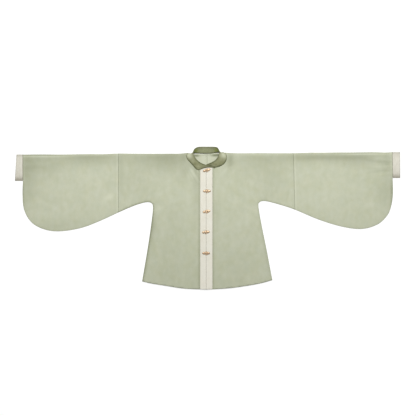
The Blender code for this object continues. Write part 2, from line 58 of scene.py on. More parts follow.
class Sock:
    # one socket; arithmetic on it adds Math nodes
    def __init__(self, tree, socket):
        self.tree = tree
        self.socket = socket

    def op(self, kind, first, second=None):
        node = self.tree.nodes.new("ShaderNodeMath")
        node.operation = kind
        for slot, value in zip(node.inputs, (first, second)):
            if isinstance(value, Sock):
                self.tree.links.new(value.socket, slot)
            elif value is not None:
                slot.default_value = value
        return Sock(self.tree, node.outputs[0])

    def __add__(self, other):
        return self.op("ADD", self, other)

    def __radd__(self, other):
        return self.op("ADD", other, self)

    def __sub__(self, other):
        return self.op("SUBTRACT", self, other)

    def __rsub__(self, other):
        return self.op("SUBTRACT", other, self)

    def __mul__(self, other):
        return self.op("MULTIPLY", self, other)

    def __rmul__(self, other):
        return self.op("MULTIPLY", other, self)

    def __pow__(self, other):
        return self.op("POWER", self, other)

    def absolute(self):
        return self.op("ABSOLUTE", self)

    def sine(self):
        return self.op("SINE", self)

    def clamped(self):
        return self.op("MINIMUM", self.op("MAXIMUM", self, 0.0), 1.0)


class Shader:
    def __init__(self, name, **constants):
        self.material = bpy.data.materials.new(name)
        self.material.use_nodes = True
        self.tree = self.material.node_tree
        self.principled = self.tree.nodes["Principled BSDF"]
        for socket, value in constants.items():
            self.principled.inputs[socket].default_value = value

    def node(self, kind, settings=None, sockets=None, out=0):
        made = self.tree.nodes.new(kind)
        for name, value in (settings or {}).items():
            setattr(made, name, value)
        for name, value in (sockets or {}).items():
            if isinstance(value, Sock):
                self.tree.links.new(value.socket, made.inputs[name])
            else:
                made.inputs[name].default_value = value
        return Sock(self.tree, made.outputs[out])

    def place(self, scale):
        coordinates = self.node("ShaderNodeTexCoord", out=3)
        return self.node("ShaderNodeVectorMath", {"operation": "MULTIPLY"}, {0: coordinates, 1: scale})

    def noise(self, scale, detail=2.0, stretch=(1, 1, 1)):
        sockets = {"Vector": self.place(stretch), "Scale": scale, "Detail": detail}
        return self.node("ShaderNodeTexNoise", sockets=sockets)

    def bands(self, direction, pitch):
        # a wave of this pitch in metres
        sockets = {"Vector": self.place((1, 1, 1)), "Scale": math.pi / 10 / pitch}
        return self.node("ShaderNodeTexWave", {"bands_direction": direction}, sockets, out=1)

    def attribute(self, name):
        return self.node("ShaderNodeAttribute", {"attribute_name": name}, out=2)

    def blend(self, factor, first, second):
        settings = {"data_type": "RGBA", "clamp_factor": True}
        return self.node("ShaderNodeMix", settings, {0: factor, 6: first, 7: second}, out=2)

    def feed(self, socket, value):
        self.tree.links.new(value.socket, self.principled.inputs[socket])

    def bump(self, height, strength, distance, under=None):
        sockets = {"Strength": strength, "Distance": distance, "Height": height}
        if under:
            sockets["Normal"] = under
        return self.node("ShaderNodeBump", sockets=sockets)


def rgba(color):
    return (*color, 1.0)


# What all the cloths share: scales are multiples of a cloth's own mottling, and depths are metres.
weave = {
    "smallScale": 4.5, "tintScale": 2.2, "grainScale": 5.0, "slubStretch": (900, 60, 900),
    "threadShare": 0.10, "slubShare": 0.10, "stitchShare": 0.25, "stitchHalfWidth": 0.0005,
    "roughnessSpread": 0.18, "threadBump": 0.22, "threadDepth": 0.0002, "crumpleDepth": 0.002,
}


def stitchLine(paint, look):
    # a dashed line of stitches at a set distance from the nearest seam, 1 on a stitch and 0 off it
    off = (paint.attribute("seam") - look["stitchFrom"]).absolute()
    inLine = 1 - (off * (1 / weave["stitchHalfWidth"])).clamped()
    dash = ((paint.attribute("run") * (2 * math.pi / look["stitchLength"])).sine() * 3 + 1.5).clamped()
    return inLine * dash


def clothMaterial(name, look):
    # woven cloth: two thread directions, slubs, broad mottling, painted light from its own mark, and dark
    # seams with painted shade along edges, folds and corners from the shade attribute
    sheen = {"Sheen Weight": look["sheen"], "Sheen Roughness": 0.45, "Specular IOR Level": 0.3}
    paint = Shader(name, **sheen)
    scale = look["mottleScale"]
    broad = paint.noise(scale, 3.0)
    small = paint.noise(scale * weave["smallScale"], 2.0)
    tint = paint.noise(scale * weave["tintScale"], 2.0, (1.0, 0.8, 1.0))
    warp = paint.bands("X", look["pitch"])
    weft = paint.bands("Y", look["pitch"])
    slubs = paint.noise(1.0, 2.0, weave["slubStretch"])
    grain = paint.noise(scale * weave["grainScale"], 3.0, (1.0, 0.7, 1.0))
    tone = broad * 1.7 + grain * look["grain"] - 0.35 - look["grain"] / 2
    color = paint.blend(tone, rgba(look["deep"]), rgba(look["light"]))
    color = paint.blend((small * 2.4 - 0.8).clamped() * look["mottle"], color, rgba(look["warm"]))
    color = paint.blend((tint * 2.6 - 0.9).clamped() * look["mottle"], color, rgba(look["cool"]))
    color = paint.blend((1 - warp * weft) * weave["threadShare"], color, rgba(look["shadow"]))
    color = paint.blend(slubs * weave["slubShare"], color, rgba(look["light"]))
    if "stripePitch" in look:
        stripe = paint.bands("X", look["stripePitch"]) ** 3
        color = paint.blend(stripe * look["stripe"], color, rgba(look["stripeColor"]))
    # painted light and painted shade laid over the cloth's own colour by the marks; the collar's green mark
    # is a painted highlight at the ends of its standing back and a green tint inside it
    color = paint.blend(paint.attribute("fade"), color, rgba(look["paintedLightColor"]))
    if "green" in look:
        color = paint.blend(paint.attribute("green"), color, rgba(look["green"]))
    color = paint.blend(paint.attribute("shade"), color, rgba(look["shadow"]))
    stitch = stitchLine(paint, look)
    color = paint.blend(stitch * weave["stitchShare"], color, rgba(look["shadow"]))
    paint.feed("Base Color", color)
    paint.feed("Roughness", small * weave["roughnessSpread"] + look["roughness"])
    relief = warp * 0.5 + weft * 0.5 + slubs * 0.4 - stitch * 1.5
    threads = paint.bump(relief, weave["threadBump"], weave["threadDepth"])
    crumple = paint.noise(look["crumpleScale"], 4.0)
    paint.feed("Normal", paint.bump(crumple, look["crumple"], weave["crumpleDepth"], threads))
    return paint.material


def metalMaterial(name, look):
    paint = Shader(name)
    worn = paint.noise(look["wornScale"], 4.0)
    grain = paint.noise(look["grainScale"], 2.0)
    color = paint.blend(worn * 1.6 - 0.4, rgba(look["deep"]), rgba(look["light"]))
    # painted shade in the clasps' grooves, at their rims and low down, mixed with their own tarnish
    color = paint.blend(paint.attribute("shade"), color, rgba(look["shadow"]))
    paint.feed("Base Color", color)
    paint.feed("Metallic", 1.0 - worn * 0.25)
    paint.feed("Roughness", grain * 0.2 + look["roughness"])
    paint.feed("Normal", paint.bump(grain, 0.15, 0.0002))
    return paint.material


looks = {
    "sage": {
        "deep": (0.440, 0.465, 0.333),
        "light": (0.502, 0.520, 0.395),
        "warm": (0.465, 0.460, 0.290),
        "cool": (0.470, 0.505, 0.425),
        "shadow": (0.200, 0.215, 0.130),
        "mottleScale": 9.0, "mottle": 0.26, "grain": 2.1, "pitch": 0.0007, "sheen": 0.15,
        "roughness": 0.55, "crumpleScale": 45.0, "crumple": 0.10,
        "paintedLightColor": (0.630, 0.645, 0.510), "stitchFrom": 0.009, "stitchLength": 0.0032,
    },
    "cream": {
        "deep": (0.660, 0.635, 0.540),
        "light": (0.735, 0.712, 0.620),
        "warm": (0.740, 0.690, 0.600),
        "cool": (0.700, 0.710, 0.650),
        "shadow": (0.330, 0.310, 0.250),
        "mottleScale": 14.0, "mottle": 0.3, "grain": 1.0, "pitch": 0.0006, "sheen": 0.1,
        "roughness": 0.5, "crumpleScale": 60.0, "crumple": 0.12,
        "stripePitch": 0.0075, "stripe": 0.22, "stripeColor": (0.560, 0.540, 0.440),
        "paintedLightColor": (0.820, 0.800, 0.720), "stitchFrom": 0.0022, "stitchLength": 0.0028,
    },
    "olive": {
        "deep": (0.195, 0.195, 0.095),
        "light": (0.300, 0.305, 0.170),
        "warm": (0.150, 0.160, 0.060),
        "cool": (0.420, 0.430, 0.280),
        "shadow": (0.085, 0.095, 0.035),
        "mottleScale": 26.0, "mottle": 0.45, "grain": 1.6, "pitch": 0.0006, "sheen": 0.2,
        "roughness": 0.5, "crumpleScale": 70.0, "crumple": 0.15,
        "paintedLightColor": (0.490, 0.510, 0.370), "stitchFrom": 0.004, "stitchLength": 0.0028,
        "green": (0.310, 0.370, 0.070),
    },
    "copper": {
        "deep": (0.520, 0.365, 0.225),
        "light": (0.670, 0.530, 0.370),
        "shadow": (0.300, 0.170, 0.090),
        "roughness": 0.40, "wornScale": 260.0, "grainScale": 1400.0,
    },
}
sage = clothMaterial("sageCloth", looks["sage"])
cream = clothMaterial("creamTrim", looks["cream"])
olive = clothMaterial("oliveCollar", looks["olive"])
copper = metalMaterial("copperPlate", looks["copper"])
print("materials ready")


def smoothSpans(rows, step):
    # Catmull-Rom curve through the rows, one list of points for each span
    points = [np.array(row, float) for row in rows]
    padded = [2 * points[0] - points[1], *points, 2 * points[-1] - points[-2]]
    spans = []
    for before, start, end, after in zip(padded, padded[1:], padded[2:], padded[3:]):
        count = max(1, round(np.linalg.norm(end - start) / step))
        share = (np.arange(count + 1) / count)[:, None]
        square = 2 * before - 5 * start + 4 * end - after
        cube = 3 * start - before - 3 * end + after
        spans.append(0.5 * (2 * start + (end - before) * share + square * share**2 + cube * share**3))
    return spans


def joined(spans):
    return np.vstack([spans[0], *[span[1:] for span in spans[1:]]])


def smoothLine(rows, step):
    return joined(smoothSpans(rows, step))


def straightLine(start, end, step):
    start = np.array(start, float)
    end = np.array(end, float)
    count = max(1, round(np.linalg.norm(end - start) / step))
    return start + (end - start) * (np.arange(count + 1) / count)[:, None]


def nearest(points, *lines):
    # the distance to the nearest of the lines, and how far along it that is
    points = np.asarray(points, float)
    distance = np.full(len(points), 1e9)
    along = np.zeros(len(points))
    for line in lines:
        run = 0.0
        for start, end in zip(line, line[1:]):
            stretch = end - start
            length = float(np.linalg.norm(stretch))
            share = np.clip((points - start) @ stretch / max(length, 1e-6) ** 2, 0, 1)
            gap = np.linalg.norm(points - start - share[:, None] * stretch, axis=1)
            closer = gap < distance
            distance[closer] = gap[closer]
            along[closer] = run + share[closer] * length
            run += length
    return distance, along


def distanceTo(points, *lines):
    return nearest(points, *lines)[0]


def bell(distance, amount, reach):
    # an amount that dies away smoothly with the distance
    return amount * np.exp(-((distance / reach) ** 2))


def loopArea(loop):
    x, y = np.asarray(loop, float).T
    return 0.5 * float(np.sum(x * np.roll(y, -1) - np.roll(x, -1) * y))


def insideLoop(points, loop):
    inside = np.zeros(len(points), bool)
    for (x0, y0), (x1, y1) in zip(loop, np.roll(loop, -1, axis=0)):
        if y0 != y1:
            crosses = (y0 > points[:, 1]) != (y1 > points[:, 1])
            inside ^= crosses & (points[:, 0] < x0 + (points[:, 1] - y0) * (x1 - x0) / (y1 - y0))
    return inside


# x is counted outwards from the centre front on each half
halves = {
    "left": {
        "sign": 1,
        # how dark the painted shade is along each line; along the seam partly the seam's own dark joint
        "dark": {"seam": 0.18, "edge": 0.12, "side": 0.20, "hem": 0.05, "placket": 0.30},
        "foldLine": [
            (90, 1.6), (130, -0.8), (170, -1.5), (250, -0.9), (330, -1.3), (420, -1), (500, 1.3), (560, 1.4),
            (640, 2.4), (700, 2.3), (800, 3.6), (860, 2.1), (893, 4),
        ],
        "underSeam": [
            (895, -120.5), (896, -201), (885, -265), (866, -304), (821, -344), (745, -365), (650, -353.5),
            (540, -320), (425, -272), (340, -244.5), (281, -231), (256, -237), (251, -258), (265, -342),
            (291, -470), (317.5, -610.5),
        ],
        "seamRow": 8,
        "seamTopX": 418, "seamFootX": 425,
        "cuffSeamX": 893, "cuffMouthX": 930, "cuffMouthFootX": 930.5, "cuffTopY": 4, "cuffFootY": -120.5,
        "hem": [(317.5, -610.5), (262, -625.7), (200, -637.1), (110, -649.5), (0, -656.3)],
        "frontNeck": [
            (0, -59.5), (24, -61), (44, -66), (58, -62.5), (72.5, -57), (85.5, -46), (92, -31),
            (94, -18), (93, -8), (90, 1.6),
        ],
        "backNeck": [(0, -5.8), (20, -3.3), (38, -1.3), (54, -1.4), (70, -2.3), (80, -1), (90, 1.6)],
    },
    "right": {
        "sign": -1,
        # the same painted shade on this half
        "dark": {"seam": 0.24, "edge": 0.16, "side": 0.55, "hem": 0.05, "placket": 0.38},
        "foldLine": [
            (90, 0.6), (130, -3.4), (180, -3.5), (250, -4), (360, -3.4), (420, -2.7), (500, -5.8),
            (560, -5.3), (640, -6.6), (700, -7.6), (800, -7.1), (880, -8),
        ],
        "underSeam": [
            (879.5, -134.5), (881.3, -201), (873.6, -273.5), (837.5, -334), (775, -367.5), (700, -376),
            (600, -360), (510, -326.5), (421, -285.5), (345, -253), (290, -237), (264, -240.5),
            (255.5, -260), (262, -330), (281, -460), (307.5, -616.5),
        ],
        "seamRow": 8,
        "seamTopX": 421, "seamFootX": 421,
        "cuffSeamX": 880, "cuffMouthX": 910, "cuffMouthFootX": 917.5, "cuffTopY": -7.5, "cuffFootY": -134.5,
        "hem": [(307.5, -616.5), (262, -627), (190, -638.5), (110, -650.6), (0, -656.3)],
        "frontNeck": [
            (0, -60), (16, -64.5), (30, -71), (41, -73), (50, -67.5), (61, -57), (73.5, -44),
            (83.5, -31), (89.5, -18), (91, -8), (90, 0.6),
        ],
        "backNeck": [(0, -5.8), (20, -5.8), (38, -4.5), (54, -4.3), (70, -5.6), (80, -5), (90, 0.6)],
    },
}

cloth = {
    "wall": 1.1, "edgeHeight": 3.8, "edgeRadius": 1.9, "edgeRings": 7, "puff": 1.5, "puffReach": 16.0,
    "step": 7.0, "backStep": 45.0, "neckStep": 3.0, "outlineStep": 6.0, "seamGap": 0.06,
    "seamDip": 0.9, "seamDipWidth": 2.0, "cuffDipShare": 0.7,
    "seamRidge": 0.7, "seamRidgeOffset": 10.0, "seamRidgeWidth": 5.0,
    "groove": 0.9, "grooveWidth": 2.5, "grooveTop": -75.0,
    "creaseBend": 0.0012,
    "waves": [(0.35, 70, 3.1), (0.16, 24, 7.7)],
}

# The widths of the darker lines on the cloth (painted shade, and along the seams partly their own dark
# joints), and how the painted light and shade below is used.
shading = {
    "widths": {"seam": 1.8, "edge": 3.0, "side": 4.5, "hem": 4.0, "placket": 4.0},
    "placketOffset": 4.0,
    "placketTop": -70.0,
    "creaseShare": 0.22,
    "ridge": (0.3, 3.5),
    "ridgeOffset": 6.0,
    "neckDepth": 60.0,
    "neckPaintedLight": (0.16, 0.5),
}

# Soft folds: x, y, length, width, angle, height. A height below zero is a trough.
softFolds = [
    (660, -12, 210, 7, 1, 0.8), (640, -30, 230, 10, 1, -1.0),
    (-640, -12, 190, 7, 2, 0.8), (-620, -30, 210, 10, 3, -1.0),
    (240, -34, 110, 16, -12, -0.7), (-230, -34, 110, 16, 6, -0.7),
    (330, -150, 90, 18, 58, 0.7), (-335, -160, 95, 18, -60, 0.6),
    (275, -262, 120, 17, 14, -0.8), (-170, -262, 110, 18, -3, -0.9),
    (170, -352, 90, 22, 20, 0.7), (-160, -350, 80, 20, 4, 0.6),
    (150, -520, 110, 26, -68, 0.7), (-205, -505, 110, 24, 82, -0.7),
    (720, -190, 130, 34, 8, 0.7), (-690, -200, 130, 36, -14, 0.7),
    (560, -240, 110, 22, -32, 0.6), (-560, -230, 110, 24, 36, 0.6),
]
# Smaller creases of the same columns, where the photograph shows them.
creases = [
    (835, -44, 62, 5, -4, -0.8), (838, -66, 54, 4.5, 2, 0.6), (840, -86, 60, 5, 6, -0.8),
    (846, -28, 42, 4, -8, 0.5), (852, -102, 40, 4, 10, 0.5), (868, -56, 26, 3, 0, -0.4),
    (-838, -52, 46, 6, 3, 0.25), (-836, -72, 56, 6, 4, -0.25), (-842, -98, 44, 5, -4, 0.2),
    (-76, -98, 36, 5, -62, 0.8), (-66, -106, 30, 4, -58, -0.5), (-92, -100, 34, 5, -66, 0.5),
    (84, -92, 34, 6, 52, 0.5), (112, -62, 40, 7, 24, -0.5),
    (-272, -252, 46, 5, 40, 0.5), (-292, -228, 40, 4.5, 62, -0.5), (-246, -276, 60, 6, 18, 0.5),
    (262, -252, 46, 5, -44, 0.5), (284, -222, 40, 4.5, -66, -0.5), (240, -280, 60, 6, -22, 0.5),
    (44, -300, 16, 3.5, 35, 0.45), (-46, -352, 18, 4, -30, 0.35), (47, -420, 18, 4, 24, 0.3),
    (390, -210, 40, 6, 80, -0.4), (-392, -225, 40, 6, -82, -0.4),
    (480, -100, 60, 8, 20, 0.35), (-470, -120, 60, 8, -24, 0.35),
    (-760, -250, 70, 9, -30, 0.4), (770, -262, 70, 9, 28, 0.4),
    (205, -600, 60, 8, 84, 0.4), (-110, -600, 50, 8, 88, 0.35), (90, -575, 46, 8, -86, 0.35),
]

# Painted light and shade on the cloth where its folds, creases, edges and shoulders catch or lose the light:
# the same columns, lighter above zero and darker below.
paintedLightAndShade = [
    (-240, -10, 170, 65, 0, -0.42), (250, -10, 170, 80, 0, -0.31), (-150, -20, 90, 75, 0, -0.26),
    (-560, -20, 130, 36, 0, -0.46), (-790, -30, 110, 90, 0, -0.30),
    (540, -20, 160, 24, 0, -0.46), (735, -26, 110, 36, 0, -0.38),
    (-865, -60, 45, 80, 0, -0.32), (-860, -190, 50, 70, 0, -0.18),
    (870, -60, 26, 70, 0, -0.20), (860, -190, 50, 70, 0, -0.16),
    (-340, -140, 90, 70, 0, -0.14), (320, -140, 90, 70, 0, -0.12),
    (890, -190, 80, 5, 90, -0.55), (-780, -10.5, 110, 3.5, 0, -0.45), (-879, -200, 70, 4.5, 90, -0.35),
    (-790, -17, 110, 3, 0, 0.45), (740, -7, 130, 3, 1, 0.45), (-560, -9, 110, 5, 0, 0.25),
    (550, -3, 110, 4, 0, 0.2), (260, -8, 130, 5, 0, 0.3), (-255, -9, 120, 4, 0, 0.2),
    (-740, -352, 110, 16, 8, -0.12), (740, 1, 130, 3, 1, -0.2),
    (-560, -180, 170, 110, 0, 0.08), (560, -170, 150, 110, 0, 0.09),
    (-160, -640, 190, 170, 0, -0.15), (160, -640, 190, 170, 0, -0.16),
    (-266, -370, 90, 14, 82, -0.30), (-288, -540, 90, 7, 82, -0.25), (284, -480, 130, 6, -80, -0.15),
    (-470, -215, 28, 14, 30, 0.35), (-62, -98, 34, 5, -58, 0.4), (-50, -92, 26, 4, -62, -0.3),
    (116, -34, 34, 15, 88, -0.42), (-97, -88, 46, 22, 62, -0.2), (-108, -22, 26, 12, 90, -0.15),
    (-190, -420, 150, 140, 0, -0.07), (185, -400, 140, 140, 0, -0.05), (-150, -290, 60, 45, 0, -0.10),
    (-262, -350, 60, 26, 84, -0.22), (-408, -130, 130, 10, 90, -0.12), (-50, -190, 150, 16, 90, -0.16),
    (-50, -130, 40, 18, 90, -0.12), (50, -300, 110, 16, 90, -0.12),
]
# The same painted light and shade inside the neck, on the back panels: the centre seam's dark line, painted
# shadows in the corners and under the standing back, and painted lit edges.
neckTones = [
    (4.4, -34, 36, 1.9, 90, -0.42), (-47, -13.5, 14, 4.5, 0, -1.1), (46, -10.5, 20, 6.5, 3, -1.3),
    (46, -3.8, 14, 2.2, 2, 0.9), (-56, -4, 12, 2.4, 0, 0.7), (-8, -7, 46, 6, 0, -0.28),
]
# The same painted light and shade on the collar's band: painted highlights along streaks and spots, and one
# spot of painted shade.
collarPaintedLightAndShade = [
    (41, -62.5, 13, 3.5, -10, 0.5), (-37, -67, 14, 4, -20, 0.35), (-36, -79, 11, 4, -8, 0.35),
    (2, -60, 14, 4, 0, 0.25), (-8, -67, 9, 3, 15, -0.15),
]
neckHole = np.array([(-88, 4), (-88, -30), (-40, -72), (0, -60), (44, -62), (90, -30), (88, 4)], float)


def foldHeights(points, rows, bend=0.0):
    # the sum of the rows' ellipses, each bent a little to one side
    total = np.zeros(len(points))
    for x, y, length, width, angle, height in rows:
        turn = math.radians(angle)
        offset = points - (x, y)
        along = offset @ (math.cos(turn), math.sin(turn))
        across = offset @ (-math.sin(turn), math.cos(turn))
        across = across + bend * along**2 * math.copysign(1, math.sin(x + y))
        total += height * np.exp(-((along / length) ** 2) - (across / width) ** 2)
    return total


def waviness(points, size, seed):
    return np.array([noise.noise(Vector((x / size, y / size, seed))) for x, y in points])


def puffRise(edge):
    # 0 along a rounded edge and 1 well inside it
    return 1 - np.exp(-np.maximum(edge - cloth["edgeRadius"], 0) / cloth["puffReach"])


class Half:
    # one half of the jacket: its edges in signed drawing coordinates, and the front layer's height
    def __init__(self, name):
        self.name = name
        self.cut = halves[name]
        self.sign = self.cut["sign"]
        self.gap = self.point(cloth["seamGap"] / 2, 0)
        spans = smoothSpans(self.cut["underSeam"], cloth["outlineStep"])
        row = self.cut["seamRow"]
        self.fold = self.curve("foldLine")
        self.sleeveUnder = self.signed(joined(spans[:row]))
        self.bodyUnder = self.signed(joined(spans[row:]))
        self.hem = self.curve("hem")
        self.frontNeck = self.curve("frontNeck")
        self.backNeck = self.curve("backNeck")
        top = self.cut["seamTopX"]
        foldY = float(np.interp(top, abs(self.fold[:, 0]), self.fold[:, 1]))
        self.seam = np.array([(self.sign * top, foldY), self.bodyUnder[0]])
        cuffTop = self.point(self.cut["cuffSeamX"], self.cut["cuffTopY"])
        self.cuffSeam = np.array([cuffTop, self.sleeveUnder[0]])

    def signed(self, line):
        return np.array(line, float) * (self.sign, 1)

    def curve(self, part):
        return self.signed(smoothLine(self.cut[part], cloth["outlineStep"]))

    def point(self, x, y):
        return np.array((self.sign * x, y), float)

    def beyondSeam(self, points):
        return abs(points[:, 0]) > (self.cut["seamTopX"] + self.cut["seamFootX"]) / 2

    def height(self, points):
        points = np.asarray(points, float)
        rise = puffRise(distanceTo(points, self.fold, self.sleeveUnder, self.bodyUnder))
        seam = distanceTo(points, self.seam)
        ridge = bell(seam - cloth["seamRidgeOffset"], cloth["seamRidge"], cloth["seamRidgeWidth"])
        ridge = ridge * self.beyondSeam(points)
        cuffDip = np.exp(-distanceTo(points, self.cuffSeam) / cloth["seamDipWidth"])
        dip = np.exp(-seam / cloth["seamDipWidth"]) + cloth["cuffDipShare"] * cuffDip
        dip = cloth["seamDip"] * dip
        fromPlacket = abs(points[:, 0]) - placket["width"]
        beside = np.clip(fromPlacket / placket["width"], 0, 1)
        relief = foldHeights(points, softFolds) + foldHeights(points, creases, cloth["creaseBend"])
        for amount, size, seed in cloth["waves"]:
            relief = relief + amount * waviness(points, size, seed)
        groove = bell(fromPlacket - cloth["grooveWidth"], cloth["groove"], cloth["grooveWidth"])
        groove = groove * (points[:, 1] < cloth["grooveTop"])
        return cloth["edgeHeight"] + rise * (cloth["puff"] + relief * beside + ridge - groove) - dip * rise

    def marks(self, points):
        # the shade mark darkens the cloth with painted shade, along the seams partly their own dark joints,
        # and the other mark lightens it with painted light; seam and run place the stitches, in metres
        seam, seamRun = nearest(points, self.seam, self.cuffSeam)
        hem, hemRun = nearest(points, self.hem)
        fromPlacket = abs(points[:, 0]) - placket["width"] - shading["placketOffset"]
        distances = {
            "seam": seam,
            "edge": distanceTo(points, self.sleeveUnder, self.bodyUnder),
            "side": distanceTo(points, self.bodyUnder),
            "hem": hem,
            "placket": np.where(points[:, 1] < shading["placketTop"], fromPlacket, 1e3),
        }
        # tone is painted light above zero and painted shade below, from the table and a share of the creases
        tone = foldHeights(points, paintedLightAndShade)
        tone = tone + shading["creaseShare"] * foldHeights(points, creases, cloth["creaseBend"])
        shade = np.maximum(-tone, 0)
        for part, width in shading["widths"].items():
            shade = shade + bell(distances[part], self.cut["dark"][part], width)
        # a painted highlight on the ridge beyond the sleeve seam
        lit = bell(seam - shading["ridgeOffset"], *shading["ridge"]) * self.beyondSeam(points)
        fade = np.maximum(tone, 0) + lit
        # inside the neck the back panels get painted light growing towards the bottom, and neckTones'
        # painted light and shade
        inside = insideLoop(points, neckHole)
        depth = np.clip(-points[:, 1] / shading["neckDepth"], 0, 1)
        inner = foldHeights(points, neckTones)
        least, gain = shading["neckPaintedLight"]
        fade = np.where(inside, least + gain * depth**2 + np.maximum(inner, 0), fade)
        shade = np.where(inside, np.maximum(-inner, 0), shade)
        stitched = hem < seam
        return {
            "shade": np.clip(shade, 0, 1),
            "fade": np.clip(fade, 0, 1),
            "seam": np.where(stitched, hem, seam) * mm,
            "run": np.where(stitched, hemRun, seamRun) * mm,
        }


def makeObject(name, vertices, faces, material, marks):
    # marks are the named values that the material reads at each vertex
    mesh = bpy.data.meshes.new(name)
    mesh.from_pydata([toFrame(*vertex) for vertex in vertices], [], faces)
    for mark, values in marks.items():
        layer = mesh.attributes.new(mark, "FLOAT", "POINT")
        layer.data.foreach_set("value", np.asarray(values, np.float32))
    mesh.shade_smooth()
    mesh.materials.append(material)
    return addObject(name, mesh)


def addObject(name, data):
    obj = bpy.data.objects.new(name, data)
    bpy.context.collection.objects.link(obj)
    return obj


def addWall(obj, wall, rounding=0):
    solidify = obj.modifiers.new("wall", "SOLIDIFY")
    solidify.thickness = wall * mm
    solidify.offset = -1.0
    solidify.use_rim = True
    if rounding:
        subdivision = obj.modifiers.new("rounding", "SUBSURF")
        subdivision.levels = rounding
        subdivision.render_levels = rounding


def inwardDirections(line):
    along = np.gradient(line, axis=0)
    normals = np.stack([-along[:, 1], along[:, 0]], axis=1)
    return normals / np.linalg.norm(normals, axis=1)[:, None]


def edgeDirections(line, before, after):
    # inwards from a closed edge, with both ends turned along the open edges beside it
    directions = inwardDirections(line)
    for index, neighbour in ((0, before), (-1, after)):
        along = neighbour - line[index]
        along = along / np.linalg.norm(along)
        if along @ directions[index] > 0.5:
            directions[index] = along
    return directions


def gridPoints(loop, step, extra=()):
    low = loop.min(axis=0)
    high = loop.max(axis=0)
    columns = np.arange(low[0] + step / 2, high[0], step)
    rows = np.arange(low[1] + step / 2, high[1], step * 0.87)
    grid = np.array([(x + step / 2 * (i % 2), y) for i, y in enumerate(rows) for x in columns])
    closedLoop = np.vstack([loop, loop[:1]])
    grid = grid[insideLoop(grid, loop)]
    grid = grid[distanceTo(grid, closedLoop) > step * 0.55]
    lines = [grid]
    for line in extra:
        near = line[insideLoop(line, loop)]
        lines.append(near[distanceTo(near, closedLoop) > 0.5])
        lines[0] = lines[0][distanceTo(lines[0], line) > step * 0.4]
    return np.vstack(lines)


def triangulate(loop, inner):
    points = [Vector((float(x), float(y))) for x, y in np.vstack([loop, inner])]
    edges = [(i, (i + 1) % len(loop)) for i in range(len(loop))]
    result = geometry.delaunay_2d_cdt(points, edges, [], 1, 1e-5)
    coordinates, faces, sources = result[0], result[2], result[3]
    triangles = []
    for face in faces:
        corners = [sources[i][0] for i in face]
        if loopArea([coordinates[i] for i in face]) < 0:
            corners.reverse()
        triangles.append(corners)
    return triangles


def turned(edges, sign):
    # the lists run clockwise on the left half, so they are turned round there
    if sign < 0:
        return edges
    flip = []
    for edge in [edges[0], *reversed(edges[1:])]:
        flip.append(tuple(line[::-1] for line in edge) if isinstance(edge, tuple) else edge[::-1])
    return flip


def foldedSheet(name, edges, height, marks, material, step, extra=(), backExtra=()):
    # a front and a back layer joined round their closed edges; edges alternate closed and open ones
    vertices = []
    faces = []
    frontLoop = []
    backLoop = []

    def add(points, heights):
        first = len(vertices)
        vertices.extend((x, y, z) for (x, y), z in zip(points, heights))
        return list(range(first, len(vertices)))

    for i in range(0, len(edges), 2):
        line = edges[i]
        before = edges[i - 1]
        after = edges[i + 1]
        front = edgeDirections(line, before[0][-2], after[0][1])
        back = edgeDirections(line, before[1][-2], after[1][1])
        rings = []
        for ring in range(cloth["edgeRings"]):
            angle = math.pi / 2 - math.pi * ring / (cloth["edgeRings"] - 1)
            inset = cloth["edgeRadius"] * (1 - math.cos(angle))
            ways = front if angle > 0 else back
            points = line + ways * inset
            top = height(line + front * cloth["edgeRadius"])
            rings.append(add(points, top * (1 + math.sin(angle)) / 2))
        for upper, lower in zip(rings, rings[1:]):
            for k in range(len(line) - 1):
                faces.append((lower[k], lower[k + 1], upper[k + 1], upper[k]))
        frontLoop += rings[0]
        backLoop += rings[-1]
        frontLoop += add(after[0][1:-1], height(after[0][1:-1]))
        backLoop += add(after[1][1:-1], np.zeros(len(after[1]) - 2))

    for loop, spacing, upward in ((frontLoop, step, True), (backLoop, cloth["backStep"], False)):
        corners = np.array([vertices[i][:2] for i in loop])
        inner = gridPoints(corners, spacing, extra if upward else backExtra)
        heights = height(inner) if upward else np.zeros(len(inner))
        numbers = loop + add(inner, heights)
        for triangle in triangulate(corners, inner):
            face = [numbers[i] for i in triangle]
            faces.append(face if upward else face[::-1])
    obj = makeObject(name, vertices, faces, material, marks(np.array([vertex[:2] for vertex in vertices])))
    addWall(obj, cloth["wall"])
    return obj


def besideLine(line, offsets, step):
    # lines of points beside a seam, so its dip has points of its own
    start, end = line[0], line[-1]
    along = (end - start) / np.linalg.norm(end - start)
    across = np.array((-along[1], along[0]))
    return [straightLine(start, end, step) + across * offset for offset in offsets]


def both(line):
    return (line, line)


seamOffsets = (-12, -7, -4, -1.8, 1.8, 4, 7, 12)
neckColumns = (1, 2.2, 3.3, 4.4, 5.5, 6.6, 8, 12, 17, 23, 29, 35, 41, 47, 53, 59, 65, 72, 80)


